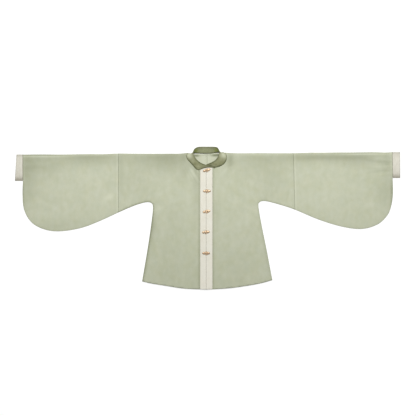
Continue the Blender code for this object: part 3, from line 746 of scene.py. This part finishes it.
def makeBody(half):
    step = cloth["outlineStep"]
    keep = abs(half.fold[:, 0]) < half.cut["seamTopX"] - step * 0.6
    fold = np.vstack([half.fold[keep], half.seam[0] - half.gap])
    seam = straightLine(half.seam[0], half.seam[1], step) - half.gap
    under = np.vstack([seam[-1], half.bodyUnder[1:]])
    hem = np.vstack([half.hem[:-1], half.hem[-1] + half.gap])
    frontNeck = np.vstack([half.frontNeck[0] + half.gap, half.frontNeck[1:]])
    backNeck = np.vstack([half.backNeck[0] + half.gap, half.backNeck[1:]])
    front = np.vstack([hem, straightLine(hem[-1], frontNeck[0], step)[1:], frontNeck[1:]])
    back = np.vstack([hem, straightLine(hem[-1], backNeck[0], step * 2)[1:], backNeck[1:]])
    edges = turned([fold, both(seam), under, (front, back)], half.sign)
    grooveX = placket["width"] + cloth["grooveWidth"]
    groove = np.array([half.point(grooveX, -70), half.point(grooveX, -655)])
    extra = besideLine(half.seam, seamOffsets, 5) + besideLine(groove, (-4, -2, 0, 2, 4), 5)
    columns = [half.sign * x for x in neckColumns]
    backExtra = [straightLine((x, 2), (x, -76), cloth["neckStep"]) for x in columns]
    name = f"bodyShell_{half.name}"
    obj = foldedSheet(name, edges, half.height, half.marks, sage, cloth["step"], extra, backExtra)
    return obj, abs(loopArea(np.vstack([fold, seam, under, front])))


def makeSleeve(half):
    step = cloth["outlineStep"]
    start = half.seam[0] + half.gap
    keep = abs(half.fold[:, 0]) > half.cut["seamTopX"] + step * 0.6
    fold = np.vstack([start, half.fold[keep][:-1], half.cuffSeam[0] - half.gap])
    cuffSeam = straightLine(fold[-1], half.cuffSeam[1] - half.gap, step)
    under = np.vstack([cuffSeam[-1], half.sleeveUnder[1:-1], half.seam[1] + half.gap])
    seam = straightLine(under[-1], start, step)
    edges = turned([fold, both(cuffSeam), under, both(seam)], half.sign)
    extra = besideLine(half.seam, seamOffsets, 5) + besideLine(half.cuffSeam, (-7, -4, -2, 2, 4, 7), 3)
    obj = foldedSheet(f"sleeveShell_{half.name}", edges, half.height, half.marks, sage, cloth["step"], extra)
    return obj, abs(loopArea(np.vstack([fold, cuffSeam, under, seam])))


cuff = {
    "step": 4.0,
    "puff": 1.2,
    "wave": 0.45,
    "dip": 0.8,
    "dipWidth": 2.0,
    "grey": {"left": 0.17, "right": 0.27},
    "streaks": 0.16,
    # each line of painted shade along an edge of the cuff, at the seam partly the seam's own dark joint: its
    # edge, how dark and how wide
    "dark": [
        ("seam", 0.35, 2.2), ("mouth", 0.12, 2.5), ("top", 0.45, 9.0),
        ("foot", 0.75, 17.0), ("foot", 0.12, 45.0), ("foot", 0.55, 5.0),
    ],
}


def makeCuff(half):
    cut = half.cut
    seamTop = half.cuffSeam[0] + half.gap
    seamFoot = half.cuffSeam[1] + half.gap
    mouthTop = half.point(cut["cuffMouthX"], cut["cuffTopY"])
    mouthFoot = half.point(cut["cuffMouthFootX"], cut["cuffFootY"])
    top = straightLine(seamTop, mouthTop, cuff["step"])
    foot = straightLine(mouthFoot, seamFoot, cuff["step"])
    mouth = straightLine(mouthTop, mouthFoot, cuff["step"])
    seam = straightLine(seamFoot, seamTop, cuff["step"])

    def height(points):
        points = np.asarray(points, float)
        rise = puffRise(distanceTo(points, top, foot))
        dip = cuff["dip"] * np.exp(-distanceTo(points, seam) / cuff["dipWidth"])
        wave = cuff["wave"] * waviness(points * (0.4, 1.0), 14, 2.2 * half.sign)
        return cloth["edgeHeight"] + rise * (cuff["puff"] + wave) - dip * rise

    def marks(points):
        lines = {"top": top, "mouth": mouth, "foot": foot, "seam": seam}
        joint, run = nearest(points, seam)
        shade = cuff["grey"][half.name] + cuff["streaks"] * waviness(points * (1.0, 0.5), 9, 4.0)
        # painted shade along the cuff's edges
        for part, amount, width in cuff["dark"]:
            shade = shade + bell(distanceTo(points, lines[part]), amount, width)
        return {"shade": np.clip(shade, 0, 1), "seam": joint * mm, "run": run * mm}

    edges = turned([top, both(mouth), foot, both(seam)], half.sign)
    obj = foldedSheet(f"cuffShell_{half.name}", edges, height, marks, cream, cuff["step"])
    return obj, abs(loopArea(np.vstack([top, mouth, foot, seam])))


# Each station of the collar is its foot's x, y, z, its top's x, y, z and the bow between them. The
# stations run from the under end round the back to the upper end.
collar = {
    "stations": [
        (-8, -64, 7.4, -8, -60.5, 9.5, 1.2), (6, -63, 7.4, 3, -55, 13.5, 1.2),
        (24, -64.5, 7.4, 14, -51, 17, 1.2), (44, -70, 7.4, 26, -45.5, 19, 1.2),
        (60, -66.5, 7.4, 38, -39, 19, 1.2), (76, -60, 7.4, 47, -31.5, 18, 1.2),
        (90, -48.5, 7.4, 53.5, -23.5, 17.5, 1.2), (97.5, -33, 7.4, 57.5, -15.5, 18, 1.2),
        (99, -19, 7.2, 60.5, -7.5, 19.5, 0.5), (96.5, -8.5, 6.8, 62, -1, 22, -1),
        (89, 0.8, 5.6, 62.8, 3.5, 25, -2.4), (77, 3.8, 2.8, 62.8, 9, 28, -3.2),
        (67, 2, 0.4, 60.5, 16, 30, -2.5), (54, 0.4, 0, 53, 25.8, 30, 0),
        (38, -0.8, 0, 37, 29, 28.5, 1.2), (20, -3, 0, 18, 29.4, 27, 1.2),
        (0, -4.2, 0, 0, 29.3, 26, 1.2), (-20, -4.2, 0, -18, 29.5, 27, 1.2),
        (-38, -2.8, 0, -36, 28.6, 28.5, 1.2), (-54, -2.6, 0, -49.5, 23.8, 30, 0.5),
        (-66, -3.2, 0.4, -59.3, 15, 30, -2), (-74, -2, 2.8, -61.5, 6.5, 28, -3),
        (-86.5, -1.4, 5.2, -61.8, 0, 25, -2.5), (-95.5, -9, 6.8, -60.5, -6, 22, -0.5),
        (-95.5, -19.5, 7.2, -58, -12, 19.5, 0.8), (-89, -33, 7.4, -53.5, -21, 18, 1.2),
        (-78.5, -45.5, 7.4, -47.5, -30, 17.5, 1.2), (-66, -58, 7.4, -39, -38.5, 18, 1.2),
        (-56, -71, 7.4, -29, -46, 18.5, 1.2), (-44, -81.5, 7.4, -18.5, -51.5, 18.5, 1.2),
        (-32, -82, 7.4, -8.5, -55.5, 18, 1.2), (-17, -76, 7.6, 2.5, -58.5, 16.5, 1.2),
        (-2, -71.5, 8, 12, -61.5, 14.5, 1.2), (14, -69.5, 8.2, 22, -64.5, 11.8, 1.2),
        (30, -70.5, 7.8, 33, -67, 10, 1.2), (43, -74, 7.6, 44, -71.5, 9, 1.2),
    ],
    "step": 3.0, "rows": 15, "wall": 1.7, "length": 0.45, "width": 0.042,
    "shoulderX": 63.0, "shoulderY": -14.0, "shoulderReach": 22.0, "backReach": 50.0, "backTopY": 8.0,
    "endX": 50.0, "endReach": 11.0, "cornerX": 52.0, "cornerReach": 13.0,
    # how dark the painted shade along each edge of the band is, and how wide that is; frontDark is painted
    # shade over the front of the band
    "topDark": (0.85, 5.5), "footDark": (0.85, 6.0), "endDark": (0.4, 2.5),
    "cornerDark": (0.6, 7.0), "rimDark": (0.75, 3.0), "frontDark": 0.14,
}


def makeCollar():
    line = smoothLine(collar["stations"], collar["step"])
    feet = line[:, :3]
    tops = line[:, 3:6]
    bows = line[:, 6]
    feet[:, 2] = np.maximum(feet[:, 2], 0.05)
    lean = tops - feet
    outward = np.cross(np.gradient(feet, axis=0), lean)
    outward /= np.linalg.norm(outward, axis=1)[:, None]
    span = np.linalg.norm(lean, axis=1)
    taper = np.minimum(span / 30.0, 1.0)
    run = np.concatenate([[0], np.cumsum(np.linalg.norm(np.diff(feet, axis=0), axis=1))])
    vertices = []
    shade = []
    fade = []
    green = []
    fromFoot = []
    count = len(feet)
    # painted light: the band is lit where it turns over the shoulders and inside its standing back; painted
    # shade falls at the foot of its back corners and of its shoulder rim, and the ends of the standing back
    # get a painted green highlight
    side = bell(feet[:, 1] - collar["shoulderY"], 1, collar["shoulderReach"])
    side = side * (abs(feet[:, 0]) > collar["shoulderX"])
    back = np.exp(-((tops[:, 0] / collar["backReach"]) ** 4)) * (tops[:, 1] > 0)
    standing = tops[:, 1] > collar["backTopY"]
    ends = bell(abs(tops[:, 0]) - collar["endX"], 1, collar["endReach"]) * standing
    corner = bell(abs(feet[:, 0]) - collar["cornerX"], 1, collar["cornerReach"]) * standing
    rim = side * np.clip((-4 - feet[:, 1]) / 6, 0, 1)
    for row in range(collar["rows"]):
        share = row / (collar["rows"] - 1)
        ripple = 0.5 * np.sin(run / 11.0 + 3 * share) * math.sin(math.pi * share)
        ripple += 0.35 * np.sin(run / 5.3 + 1.0) * (1 - share)
        bow = (bows * math.sin(math.pi * share) + ripple * 0.6) * taper
        points = feet + lean * share + bow[:, None] * outward
        vertices.extend(tuple(point) for point in points)
        topEdge = (1 - share) * span
        footEdge = share * span
        endEdge = np.minimum(run, run[-1] - run)
        # painted shade along the band's top, foot and ends, over its front, and at its corners and rim
        dark = (1 - 0.65 * back) * bell(topEdge, *collar["topDark"]) + bell(footEdge, *collar["footDark"])
        dark = dark * (1 - 0.85 * side) + bell(endEdge, *collar["endDark"])
        dark += collar["frontDark"] * (1 - side) * (1 - back)
        dark += corner * bell(footEdge, *collar["cornerDark"]) + rim * bell(footEdge, *collar["rimDark"])
        tone = foldHeights(points[:, :2], collarPaintedLightAndShade) * (points[:, 1] < -40)
        shade.extend(np.clip(dark * np.clip(span / 24, 0.3, 1) - tone, 0, 1))
        # painted light over the shoulders, from the collar's table and inside the standing back
        lit = 0.9 * side * math.exp(-(((share - 0.42) / 0.42) ** 2)) + 0.4 * np.maximum(tone, 0)
        fade.extend(np.clip(lit + 0.55 * back * math.sin(math.pi * share) ** 0.5, 0, 1))
        # a painted green highlight at the ends of the standing back, and a green tint inside it
        green.extend(np.clip((0.8 * ends + 0.25 * back) * math.sin(math.pi * share), 0, 1))
        fromFoot.extend(np.minimum(footEdge, topEdge) * mm)
    faces = []
    for row in range(collar["rows"] - 1):
        for k in range(count - 1):
            a = row * count + k
            faces.append((a, a + 1, a + count + 1, a + count))
    along = np.tile(run * mm, collar["rows"])
    marks = {"shade": shade, "fade": fade, "green": green, "seam": fromFoot, "run": along}
    obj = makeObject("collarShell", vertices, faces, olive, marks)
    addWall(obj, collar["wall"], rounding=1)
    return obj


placket = {
    "width": 29.4,
    "spread": {"left": 1.035, "right": 1.0},
    "wall": 1.3,
    "wallShare": 0.8,
    "lift": 0.25,
    "columns": (0.04, 0.35, 1.0, 2.4, 5.0, 9.5, 14.5, 19.5, 24.0, 27.0, 28.5, 29.2, 29.4),
    "rowStep": 5.0, "edgeDrop": 0.9, "edgeDropWidth": 0.8, "wave": 0.35, "calmReach": 16.0, "calmTall": 1.4,
    "edgeDark": (0.55, 0.9), "topDark": (0.3, 4.0),
}


def footLineY(x):
    # the collar's foot above the placket, lowest where its two ends cross
    foot = [(s[0], s[1]) for s in collar["stations"] if s[1] < -60]
    found = []
    for (x0, y0), (x1, y1) in zip(foot, foot[1:]):
        if min(x0, x1) <= x <= max(x0, x1) and x0 != x1:
            found.append(y0 + (y1 - y0) * (x - x0) / (x1 - x0))
    return min(found) - 0.4


def makePlacket(half):
    hem = half.hem
    points = []
    across = np.array(placket["columns"]) * placket["spread"][half.name]
    topY = np.array([footLineY(half.sign * x) for x in across])
    hemY = np.interp(across, abs(hem[::-1, 0]), hem[::-1, 1])
    rowCount = int((topY[0] - hemY[0]) / placket["rowStep"])
    for x, top, foot in zip(across, topY, hemY):
        points.extend((half.sign * x, y) for y in np.linspace(top, foot, rowCount))
    points = np.array(points)
    fromEdge = np.minimum(abs(points[:, 0]), across[-1] - abs(points[:, 0]))
    drop = placket["edgeDrop"] * np.exp(-fromEdge / placket["edgeDropWidth"])
    # the strip lies flat under each clasp
    offsets = [(points - (x, y)) / (1, placket["calmTall"]) for x, y, _ in clasps["at"]]
    fromClasp = np.min([np.hypot(*offset.T) for offset in offsets], axis=0)
    calm = 1 - bell(fromClasp, 1, placket["calmReach"])
    wave = placket["wave"] * waviness(points * (1.0, 0.35), 11, 5.0 + half.sign) * calm
    base = cloth["edgeHeight"] + cloth["puff"]
    heights = base + placket["lift"] + placket["wall"] + wave - drop
    # painted shade along the strip's edges and at its top under the collar's foot
    dark = bell(fromEdge, *placket["edgeDark"])
    dark += bell(points[:, 1] - np.repeat(topY, rowCount), *placket["topDark"])
    vertices = [(x, y, z) for (x, y), z in zip(points, heights)]
    faces = []
    for c in range(len(across) - 1):
        for r in range(rowCount - 1):
            a = c * rowCount + r
            quad = (a, a + 1, a + rowCount + 1, a + rowCount)
            faces.append(quad if half.sign > 0 else quad[::-1])
    marks = {"shade": np.clip(dark, 0, 1), "seam": fromEdge * mm, "run": -points[:, 1] * mm}
    obj = makeObject(f"placketShell_{half.name}", vertices, faces, cream, marks)
    addWall(obj, placket["wall"] * placket["wallShare"])
    return obj


clasps = {
    "at": [(2.6, -83.2, 16), (3.3, -183.3, 1), (1.8, -281.3, 11), (-1.6, -380, 6), (-0.3, -481.2, 0)],
    "tarnish": (0.08, 0.0, 0.0, 0.02, 0.24),
    "span": 38.0, "knob": 5.9, "gap": 0.3, "tube": 1.2, "neck": 3.2, "crown": 2.0,
    "loopRoot": 7.0, "buttonRoot": 6.4, "buttonInset": 1.9, "columns": 13, "rows": 21,
    "groove": 0.35, "rib": 0.35, "ribWidth": 0.16, "opening": 52, "sharpAngle": 50,
}


def wingShape(direction, button):
    # rows of points from the wing's inner end, which follows the ring, to its tip; a button has a neck too
    half = clasps["span"] / 2
    ring = clasps["knob"] + clasps["gap"] + clasps["tube"]
    inner = ring + clasps["buttonInset"] if button else ring
    root = clasps["buttonRoot"] if button else clasps["loopRoot"]
    columns = clasps["columns"]
    across = np.linspace(-1, 1, columns)
    neck = [(clasps["knob"] - 1, 0.35), (ring + 0.6, 0.5)] if button else []
    lines = [([x] * columns, clasps["neck"], rise, 0.0) for x, rise in neck]
    for share in np.linspace(0, 1, clasps["rows"]):
        starts = np.sqrt(inner**2 - (across * root) ** 2)
        wide = root * max(1 - share**2.8, 0.02) ** 0.7 * (1 + 0.05 * math.cos(share * math.pi * 6))
        lines.append((starts + (half - starts) * share, wide, 1 - 0.55 * share**3, share))
    vertices = []
    faces = []
    shades = []
    rows = len(lines)
    for line, wide, rise, share in lines:
        for x, v in zip(line, across):
            dome = math.sqrt(max(1 - v * v, 0))
            groove = abs(math.sin(v * math.pi * 1.5)) * (0.3 + 0.7 * share)
            rib = bell(v, clasps["rib"], clasps["ribWidth"])
            z = 0.5 + (clasps["crown"] * dome + rib) * rise - clasps["groove"] * groove * dome
            vertices.append((direction * x, v * wide, z))
            # painted shade in the grooves, along the rim and towards the tip
            shades.append(min(0.8, 0.3 * groove + (0.4 if abs(v) > 0.95 else 0) + 0.25 * share**2))
    for i in range(rows - 1):
        for j in range(columns - 1):
            a = i * columns + j
            faces.append((a, a + columns, a + columns + 1, a + 1))
    grid = np.arange(rows * columns).reshape(rows, columns)
    rim = np.concatenate([grid[0], grid[1:, -1], grid[-1, -2::-1], grid[-2:0:-1, 0]]).tolist()
    base = len(vertices)
    for index in rim:
        x, y, _ = vertices[index]
        vertices.append((x, y, 0.0))
        # painted shade on the wing's sides
        shades.append(0.8)
    size = len(rim)
    for k in range(size):
        after = (k + 1) % size
        faces.append((rim[k], rim[after], base + after, base + k))
    faces.append(tuple(base + k for k in range(size)))
    return vertices, faces, shades


def turnedShape(profile, sides, opening=0.0):
    # a profile of (radius, height) turned round the button's axis, or part of the way round
    vertices = []
    faces = []
    start = math.pi - math.radians(opening)
    whole = opening == 0
    steps = sides if whole else sides + 1
    for i in range(steps):
        angle = start - 2 * start * i / sides if not whole else 2 * math.pi * i / sides
        vertices.extend((r * math.cos(angle), r * math.sin(angle), z) for r, z in profile)
    size = len(profile)
    for i in range(sides):
        after = (i + 1) % steps
        for k in range(size):
            if whole and k == size - 1:
                continue
            up = (k + 1) % size
            faces.append((i * size + k, after * size + k, after * size + up, i * size + up))
    if whole:
        faces.append(tuple(i * size for i in range(sides)))
        faces.append(tuple(i * size + size - 1 for i in reversed(range(sides))))
    else:
        faces.append(tuple(range(size)))
        faces.append(tuple(reversed(range(sides * size, sides * size + size))))
    return vertices, faces


def makeClasp(number, at, side, base):
    button = side == "right"
    wing, faces, shades = wingShape(-1 if button else 1, button)
    knob = clasps["knob"]
    if button:
        profile = [(knob * 0.9, 0.0), (knob, 0.5), (knob, 1.3), (knob * 0.93, 1.7), (knob * 0.8, 1.75)]
        profile += [(knob * 0.72 * math.cos(a), 1.6 + 1.9 * math.sin(a)) for a in np.linspace(0.15, 1.45, 7)]
        extra, extraFaces = turnedShape(profile, 32)
    else:
        tube = clasps["tube"]
        middle = knob + clasps["gap"] + tube
        turns = np.linspace(0, 2 * math.pi, 11)[:-1]
        profile = [(middle + tube * math.cos(a), tube + tube * math.sin(a)) for a in turns]
        extra, extraFaces = turnedShape(profile, 30, opening=clasps["opening"])
    offset = len(wing)
    vertices = wing + extra
    faces = faces + [tuple(i + offset for i in face) for face in extraFaces]
    # painted shade on the low part of the knob and ring; the tarnish next is the clasp's own colour
    shades = shades + [0.25 if z < 0.4 else 0.0 for _, _, z in extra]
    shades = [min(0.9, shade + clasps["tarnish"][number - 1]) for shade in shades]
    x0, y0, tilt = at
    cos, sin = math.cos(math.radians(tilt)), math.sin(math.radians(tilt))
    placed = [(x0 + x * cos - y * sin, y0 + x * sin + y * cos, base + z) for x, y, z in vertices]
    obj = makeObject(f"claspShell_{number}_{side}", placed, faces, copper, {"shade": shades})
    bm = bmesh.new()
    bm.from_mesh(obj.data)
    bmesh.ops.recalc_face_normals(bm, faces=bm.faces)
    bm.to_mesh(obj.data)
    bm.free()
    obj.data.set_sharp_from_angle(angle=math.radians(clasps["sharpAngle"]))
    return obj


for half in (Half("left"), Half("right")):
    name = half.name
    body, bodyArea = makeBody(half)
    sleeve, sleeveArea = makeSleeve(half)
    cuffBand, cuffArea = makeCuff(half)
    strip = makePlacket(half)
    cutSizes = {
        body: ((0.43, 1.31), bodyArea * 2 * mm * mm, "body"),
        sleeve: ((0.48, 0.76), sleeveArea * 2 * mm * mm, "sleeve"),
        cuffBand: ((0.04, 0.252), cuffArea * 2 * mm * mm, "cuff"),
        strip: ((placket["width"] * mm, 0.585), None, "placket"),
    }
    for obj, (flat, area, node) in cutSizes.items():
        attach(obj, "root")
        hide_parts(f"{node}_{name}")
        "cream_trim" if node in ("cuff", "placket") else "sage_cloth"
        on = [body] if node == "placket" else ["floor"]
    print(f"{name} half made")

collarShell = makeCollar()
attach(collarShell, "root")
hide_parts("collar")
print("collar made")

for number, at in enumerate(clasps["at"], start=1):
    for side in ("left", "right"):
        node = f"clasp_{number}_{side}"
        obj = makeClasp(number, at, side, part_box(node)[0][2] / mm)
        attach(obj, "root")
        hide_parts(node)
print("clasps made")

studio = {
    "floorSize": 8.0, "floorHeight": -0.0004, "floorColor": (0.30, 0.30, 0.30), "floorGlow": 0.75,
    "worldStrength": 0.38, "keyPower": 126.0, "keyWide": 3.2, "keyTall": 0.8, "keyAt": (0.05, 1.8, 3.0),
    "photoCentre": (8.64, -264.3), "photoWidth": 1.997, "distance": 6.0, "sensor": 36.0,
}


def makeStudio():
    reach = studio["floorSize"] / 2
    corners = [(-reach, -reach), (reach, -reach), (reach, reach), (-reach, reach)]
    floorMesh = bpy.data.meshes.new("floor")
    floorMesh.from_pydata([(x, y, studio["floorHeight"]) for x, y in corners], [], [(0, 1, 2, 3)])
    floor = addObject("floor", floorMesh)
    glow = {"Emission Color": (1, 1, 1, 1), "Emission Strength": studio["floorGlow"]}
    paint = Shader("paleFloor", Roughness=0.9, **{"Base Color": rgba(studio["floorColor"])}, **glow)
    floorMesh.materials.append(paint.material)

    world = bpy.data.worlds.new("studio")
    world.use_nodes = True
    background = world.node_tree.nodes["Background"]
    background.inputs["Color"].default_value = (1, 1, 1, 1)
    background.inputs["Strength"].default_value = studio["worldStrength"]
    bpy.context.scene.world = world

    key = bpy.data.lights.new("key", "AREA")
    key.energy = studio["keyPower"]
    key.shape = "RECTANGLE"
    key.size = studio["keyWide"]
    key.size_y = studio["keyTall"]
    keyObject = addObject("key", key)
    keyObject.location = studio["keyAt"]
    keyObject.rotation_euler = (-keyObject.location).to_track_quat("-Z", "Y").to_euler()

    camera = bpy.data.cameras.new("camera")
    camera.sensor_width = studio["sensor"]
    camera.lens = studio["sensor"] * studio["distance"] / studio["photoWidth"]
    cameraObject = addObject("camera", camera)
    x, y, _ = toFrame(*studio["photoCentre"], 0)
    cameraObject.location = (x, y, studio["distance"])
    bpy.context.scene.camera = cameraObject
    bpy.context.scene.view_settings.view_transform = "Standard"


makeStudio()
print("studio ready")
